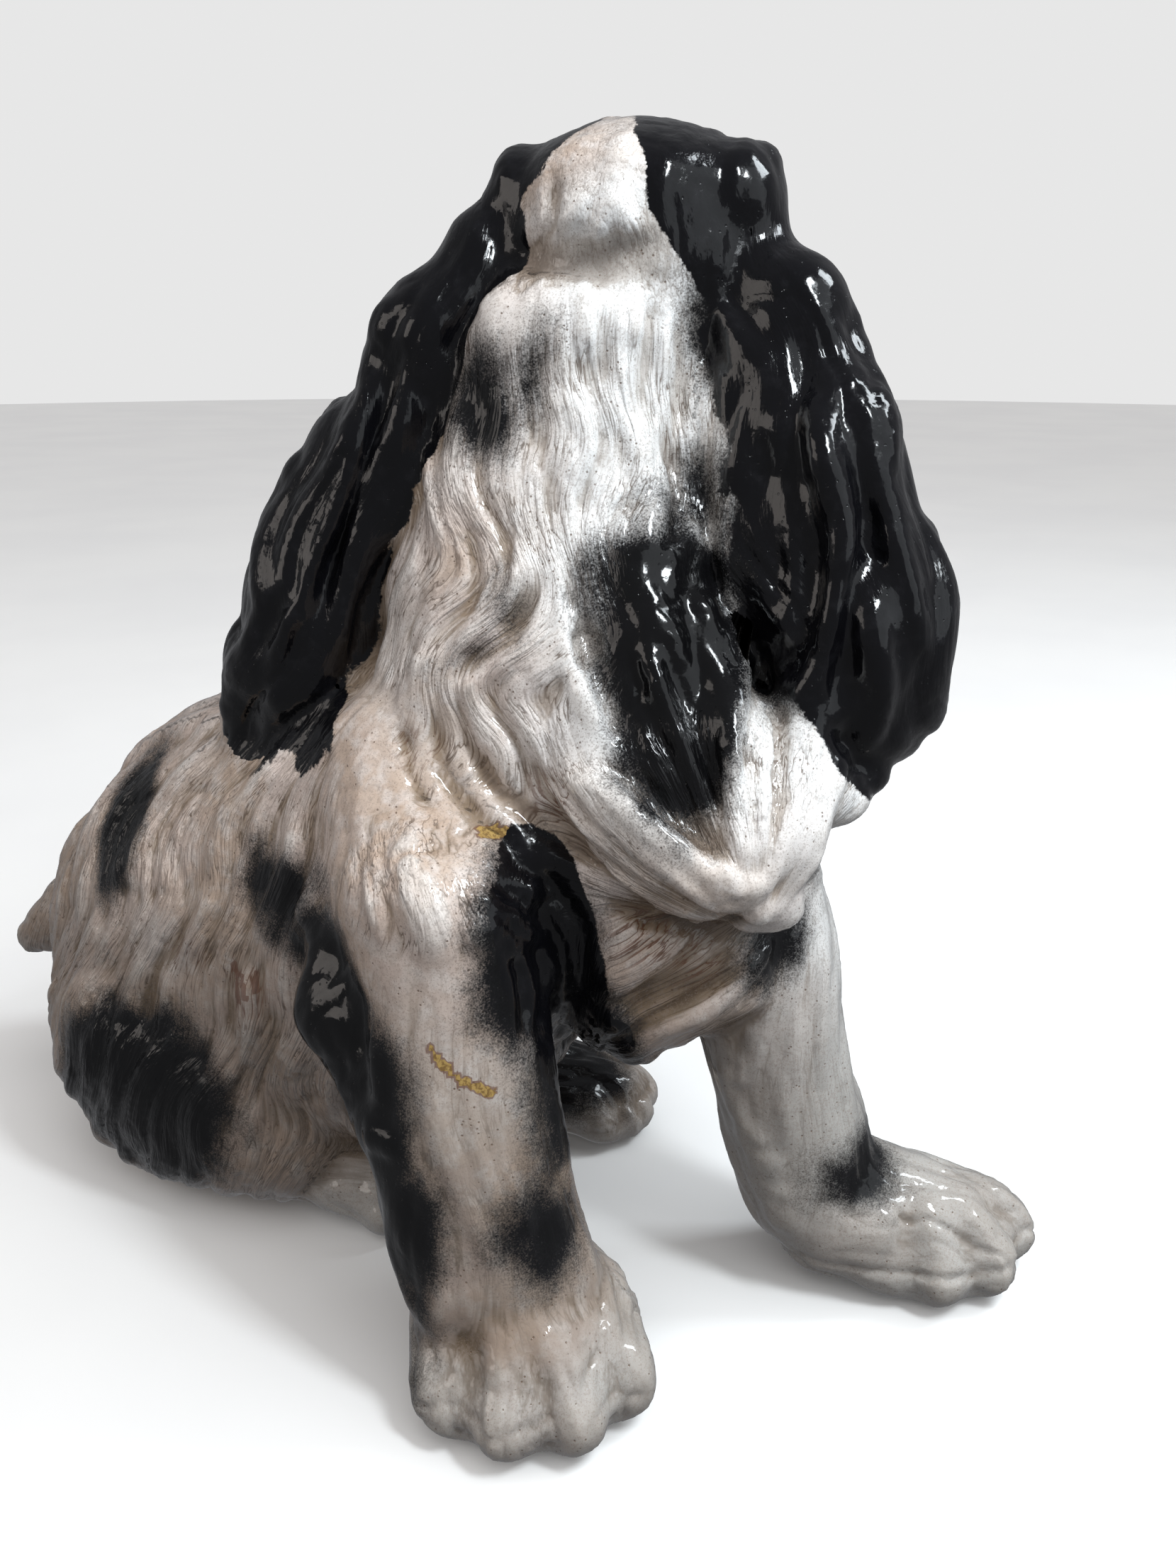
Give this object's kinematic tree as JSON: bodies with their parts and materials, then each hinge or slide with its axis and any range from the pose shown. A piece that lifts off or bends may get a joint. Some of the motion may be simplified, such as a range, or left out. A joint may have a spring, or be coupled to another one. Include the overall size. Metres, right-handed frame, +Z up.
{
  "type": "dog figurine",
  "caption": "Sitting spaniel figurine in hollow glazed ceramic, head turned over its shoulder, long ears, resting on small felt pads.",
  "frame": {"origin": "middle of the bounding box at the level of the pads' undersides", "axes": "+Z up, -Y the way the forepaws point, +X the dog's left side"},
  "size_m": [0.2459, 0.4511, 0.3999],
  "materials": {
    "pied_glaze": "gloss",
    "black_glaze": "gloss",
    "felt": "matte"
  },
  "bodies": {
    "root": {"head_shell": "pied_glaze", "neck_shell": "pied_glaze", "chest_ruff": "pied_glaze", "trunk_shell": "pied_glaze", "ear_left": "black_glaze", "ear_right": "black_glaze", "foreleg_left": "pied_glaze", "foreleg_right": "pied_glaze", "forepaw_left": "pied_glaze", "forepaw_right": "pied_glaze", "haunch_left": "pied_glaze", "haunch_right": "pied_glaze", "hind_foot_left": "pied_glaze", "hind_foot_right": "pied_glaze", "tail_stub": "pied_glaze", "felt_front_left": "felt", "felt_front_right": "felt", "felt_rear_left": "felt", "felt_rear_right": "felt"}
  },
  "joints": []
}
